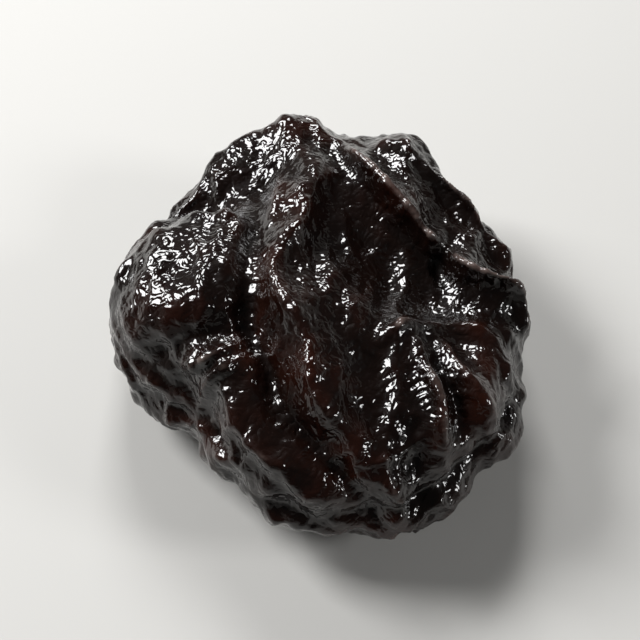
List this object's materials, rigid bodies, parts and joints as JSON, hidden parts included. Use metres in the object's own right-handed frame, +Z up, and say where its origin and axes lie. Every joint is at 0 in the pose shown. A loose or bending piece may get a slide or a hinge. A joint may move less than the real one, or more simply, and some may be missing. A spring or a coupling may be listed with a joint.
{
  "type": "prune",
  "caption": "Pitted prune: a whole dried plum, flattened and folded, with dark glossy wrinkled skin, lying on its broad side.",
  "frame": {"origin": "middle of the outline seen from above, on the surface the prune lies on", "axes": "+Z up through the broad upper face, +Y along the fruit towards its stem end, +X to the right of the upper face seen with the stem end away"},
  "size_m": [0.0356, 0.0388, 0.0163],
  "materials": {
    "prune_skin": "near-black, wrinkled and sticky, with a wet gloss"
  },
  "bodies": {
    "root": {"prune": "prune_skin"}
  },
  "joints": []
}
